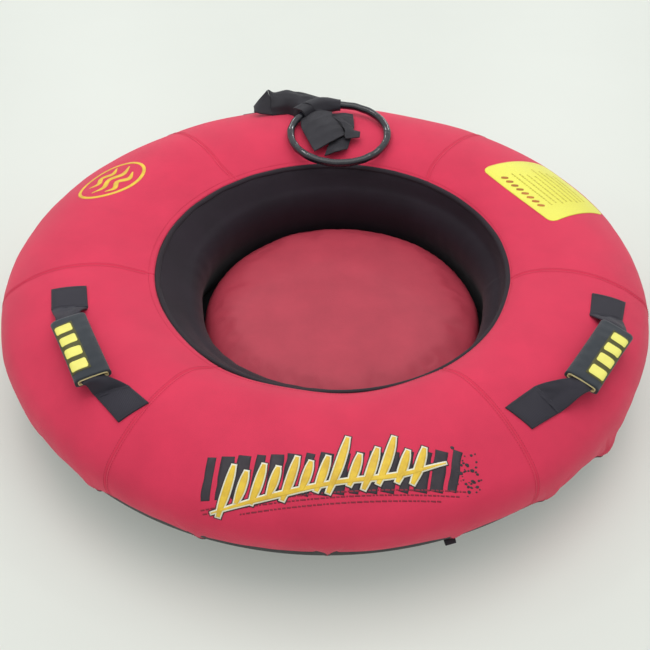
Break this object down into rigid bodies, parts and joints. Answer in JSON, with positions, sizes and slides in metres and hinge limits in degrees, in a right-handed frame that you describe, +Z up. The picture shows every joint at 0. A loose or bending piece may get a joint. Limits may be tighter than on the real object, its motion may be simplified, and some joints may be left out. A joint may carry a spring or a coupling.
{
  "type": "towable tube",
  "caption": "Round inflatable ring for towing behind a boat, with a fabric cover, a padded seat in the middle well, hand grips and a tow ring on a strap.",
  "frame": {"origin": "middle of the flat base, on the surface the tube lies on", "axes": "+Z up, out of the seat; +Y towards the tow strap and ring at the back; -Y towards the printed front; +X to the right as seen from the front (-Y)"},
  "size_m": [0.9999, 0.9999, 0.2208],
  "materials": {
    "cover_fabric": "coated nylon",
    "black_fabric": "coated nylon",
    "base_fabric": "heavy coated nylon",
    "binding_tape": "woven binding",
    "seat_vinyl": "soft matte vinyl",
    "foam": "open foam",
    "tube_rubber": "matte",
    "webbing": "woven webbing",
    "tow_webbing": "woven webbing",
    "grip_foam": "soft fabric-faced foam",
    "yellow_lining": "woven",
    "yellow_print": "printed",
    "zip_tape": "woven tape",
    "zip_metal": "nickel plated",
    "valve_rubber": "matte",
    "valve_plastic": "moulded",
    "ring_coating": "smooth coated bar"
  },
  "bodies": {
    "cover": {"cover_front": "cover_fabric", "cover_front_right": "cover_fabric", "cover_rear_right": "cover_fabric", "cover_back": "cover_fabric", "cover_rear_left": "cover_fabric", "cover_front_left": "cover_fabric", "bottom_skirt": "black_fabric", "base_sheet": "base_fabric", "wall_front": "black_fabric", "wall_front_right": "black_fabric", "wall_rear_right": "black_fabric", "wall_back": "black_fabric", "wall_rear_left": "black_fabric", "wall_front_left": "black_fabric", "rim_binding": "binding_tape", "hem_binding": "binding_tape", "seat_cover": "seat_vinyl", "seat_foam": "foam", "inner_tube": "tube_rubber", "handle_left_tabs": "webbing", "handle_right_tabs": "webbing", "tow_anchor": "webbing", "yellow_patch": "yellow_print", "hem_tab": "binding_tape", "zip_tape": "zip_tape", "valve_flange": "valve_rubber", "valve_body": "valve_plastic", "valve_tether": "valve_rubber"},
    "handle_left": {"handle_left_web": "webbing", "handle_left_grip": "grip_foam", "handle_left_lining": "yellow_lining", "handle_left_marks": "yellow_print"},
    "handle_right": {"handle_right_web": "webbing", "handle_right_grip": "grip_foam", "handle_right_lining": "yellow_lining", "handle_right_marks": "yellow_print"},
    "tow_strap": {"tow_strap": "tow_webbing", "tow_tail": "tow_webbing"},
    "tow_loop": {"tow_loop": "tow_webbing"},
    "tow_ring": {"tow_ring": "ring_coating"},
    "zip_slider": {"zip_slider": "zip_metal"},
    "zip_pull": {"zip_pull": "zip_metal"},
    "valve_cap": {"valve_cap": "valve_plastic"},
    "valve_flap": {"valve_flap": "valve_rubber"}
  },
  "joints": [
    {"name": "handle_left_swing", "type": "hinge", "parent": "cover", "child": "handle_left", "pos_m": [-0.32293, -0.21782, 0.19612], "axis": [-0.449, 0.8933, 0.0197], "range_deg": [0, 75]},
    {"name": "handle_right_swing", "type": "hinge", "parent": "cover", "child": "handle_right", "pos_m": [0.34717, -0.22545, 0.19069], "axis": [-0.5248, -0.8512, -0.0068], "range_deg": [0, 75]},
    {"name": "tow_strap_swing", "type": "hinge", "parent": "cover", "child": "tow_strap", "pos_m": [-0.11054, 0.46042, 0.1618], "axis": [-0.9724, -0.2334, 0], "range_deg": [0, 150]},
    {"name": "ring_flip", "type": "hinge", "parent": "tow_strap", "child": "tow_loop", "pos_m": [-0.02188, 0.40583, 0.20757], "axis": [-0.891, -0.4529, -0.0317], "range_deg": [0, 90]},
    {"name": "ring_spin", "type": "hinge", "parent": "tow_loop", "child": "tow_ring", "pos_m": [0.0217, 0.3205, 0.2016], "axis": [0, -0.0698, 0.9976], "continuous": true},
    {"name": "zip_slide", "type": "hinge", "parent": "cover", "child": "zip_slider", "pos_m": [0, 0, 0], "axis": [0, 0, 1], "range_deg": [0, 44]},
    {"name": "zip_pull_flip", "type": "hinge", "parent": "zip_slider", "child": "zip_pull", "pos_m": [0.43753, 0.12726, 0.0224], "axis": [0.738, 0.2327, 0.6334], "range_deg": [0, 100]},
    {"name": "valve_cap_turn", "type": "hinge", "parent": "cover", "child": "valve_cap", "pos_m": [-0.34812, 0.2921, 0.02172], "axis": [-0.4852, 0.4071, -0.7738], "range_deg": [0, 360]},
    {"name": "valve_flap_lift", "type": "hinge", "parent": "cover", "child": "valve_flap", "pos_m": [-0.33345, 0.2798, 0.02854], "axis": [0.6428, 0.766, 0], "range_deg": [0, 45]}
  ]
}
